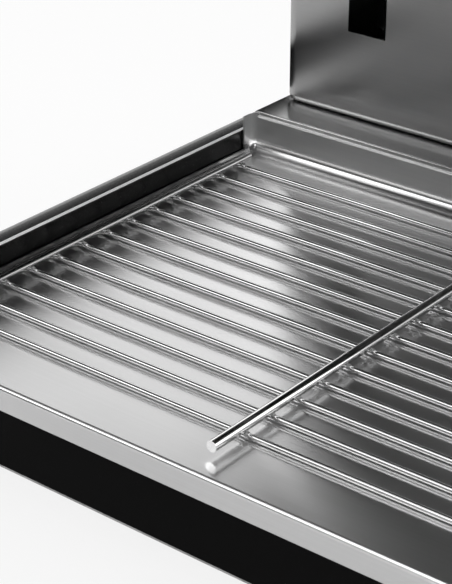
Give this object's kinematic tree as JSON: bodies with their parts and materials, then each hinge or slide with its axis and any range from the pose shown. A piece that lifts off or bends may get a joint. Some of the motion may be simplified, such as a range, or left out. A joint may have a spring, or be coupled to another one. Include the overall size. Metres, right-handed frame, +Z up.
{
  "type": "salamander grill",
  "caption": "Top-heat grill with a low base, pull-out drip tray, loose wire grid and a heating hood that slides up and down a rear column.",
  "frame": {"origin": "on the table under the middle of the whole grill", "axes": "+Z up, the front with the handle faces -Y, +X to the right as seen from the front"},
  "size_m": [0.469, 0.498, 0.5],
  "materials": {
    "black_enamel": "gloss black enamel",
    "plain_sheet": "plain zinc-coated sheet",
    "brushed_sheet": "stainless sheet brushed from side to side",
    "reflector": "bright stainless sheet",
    "bright_steel": "ground and plated steel",
    "grid_wire": "plated wire, spot welded",
    "wire_rope": "stranded steel rope",
    "rubber": "moulded rubber",
    "black_plastic": "moulded, fine grain",
    "knob_black": "moulded, smooth",
    "pale_plastic": "heat-proof moulding",
    "cast_iron": "as cast",
    "block_metal": "machined block",
    "bush_metal": "sintered bronze",
    "wool": "mineral wool pad",
    "element_sheath": "heat-darkened alloy sheath",
    "panel_metal": "satin front plate",
    "switch_red": "clear red moulding",
    "lamp_green": "clear green lens",
    "lamp_amber": "clear amber lens"
  },
  "bodies": {
    "base": {"side_rail_left": "black_enamel", "side_rail_right": "black_enamel", "front_fascia": "black_enamel", "base_floor": "plain_sheet", "tray_runner_left": "plain_sheet", "tray_runner_right": "plain_sheet", "rear_deck": "brushed_sheet", "column_shell": "brushed_sheet", "column_cap": "brushed_sheet", "back_cover": "plain_sheet", "cover_screws": "bright_steel", "rubber_feet": "rubber", "foot_bolts": "bright_steel", "column_frame": "plain_sheet", "guide_rod_left": "bright_steel", "guide_rod_right": "bright_steel", "weight_rods": "bright_steel", "pulley_brackets": "plain_sheet", "pulley_axles": "bright_steel", "cable_bends": "wire_rope", "terminal_block": "pale_plastic", "cable_gland": "black_plastic"},
    "hood": {"carriage_bar": "plain_sheet", "bearing_block_left": "block_metal", "bearing_block_right": "block_metal", "guide_bushes": "bush_metal", "hood_arm_left": "plain_sheet", "hood_arm_right": "plain_sheet", "arm_bolts": "bright_steel", "lift_cables": "wire_rope", "hood_shell": "brushed_sheet", "hood_rear_panel": "brushed_sheet", "hood_liner": "reflector", "inner_housing": "plain_sheet", "insulation_pad": "wool", "heating_element_front": "element_sheath", "heating_element_middle": "element_sheath", "heating_element_rear": "element_sheath", "element_hangers": "plain_sheet", "element_guard": "bright_steel", "handle_bar": "brushed_sheet", "handle_posts": "black_plastic", "handle_caps": "black_plastic", "control_panel": "panel_metal", "energy_regulator": "pale_plastic", "cooking_timer": "pale_plastic", "power_switch": "black_plastic", "pilot_lamp_power": "lamp_green", "pilot_lamp_heat": "lamp_amber"},
    "pulley_left": {"pulley_left": "black_plastic"},
    "pulley_right": {"pulley_right": "black_plastic"},
    "weight": {"counterweight": "cast_iron", "weight_cables": "wire_rope"},
    "regulator_knob": {"regulator_knob": "knob_black"},
    "timer_knob": {"timer_knob": "knob_black"},
    "rocker": {"switch_rocker": "switch_red"},
    "tray": {"drip_tray": "brushed_sheet"},
    "grid": {"wire_grid": "grid_wire"}
  },
  "joints": [
    {"name": "hood_lift", "type": "slide", "parent": "base", "child": "hood", "axis": [0, 0, 1], "range_m": [-0.19, 0], "deforming": ["lift_cables"]},
    {"name": "counterweight_travel", "type": "slide", "parent": "base", "child": "weight", "axis": [0, 0, 1], "range_m": [0, 0.19], "deforming": ["weight_cables"]},
    {"name": "pulley_left_turn", "type": "hinge", "parent": "base", "child": "pulley_left", "pos_m": [-0.06, 0.165, 0.457], "axis": [1, 0, 0], "range_deg": [0, 726]},
    {"name": "pulley_right_turn", "type": "hinge", "parent": "base", "child": "pulley_right", "pos_m": [0.06, 0.165, 0.457], "axis": [1, 0, 0], "range_deg": [0, 726]},
    {"name": "tray_slide", "type": "slide", "parent": "base", "child": "tray", "axis": [0, -1, 0], "range_m": [0, 0.24]},
    {"name": "grid_lift", "type": "slide", "parent": "tray", "child": "grid", "axis": [0, 0, 1], "range_m": [0, 0.1]},
    {"name": "regulator_knob_turn", "type": "hinge", "parent": "hood", "child": "regulator_knob", "pos_m": [0.062, -0.2043, 0.431], "axis": [0, 1, 0], "range_deg": [0, 300]},
    {"name": "timer_knob_turn", "type": "hinge", "parent": "hood", "child": "timer_knob", "pos_m": [0, -0.2043, 0.431], "axis": [0, 1, 0], "range_deg": [0, 300]},
    {"name": "switch_rocker_tilt", "type": "hinge", "parent": "hood", "child": "rocker", "pos_m": [-0.092, -0.1995, 0.431], "axis": [1, 0, 0], "range_deg": [0, 16]}
  ],
  "couplings": [
    {"joint": "counterweight_travel", "follows": "hood_lift", "ratio": -1},
    {"joint": "pulley_left_turn", "follows": "hood_lift", "rad_per_m": -66.667},
    {"joint": "pulley_right_turn", "follows": "hood_lift", "rad_per_m": -66.667}
  ]
}
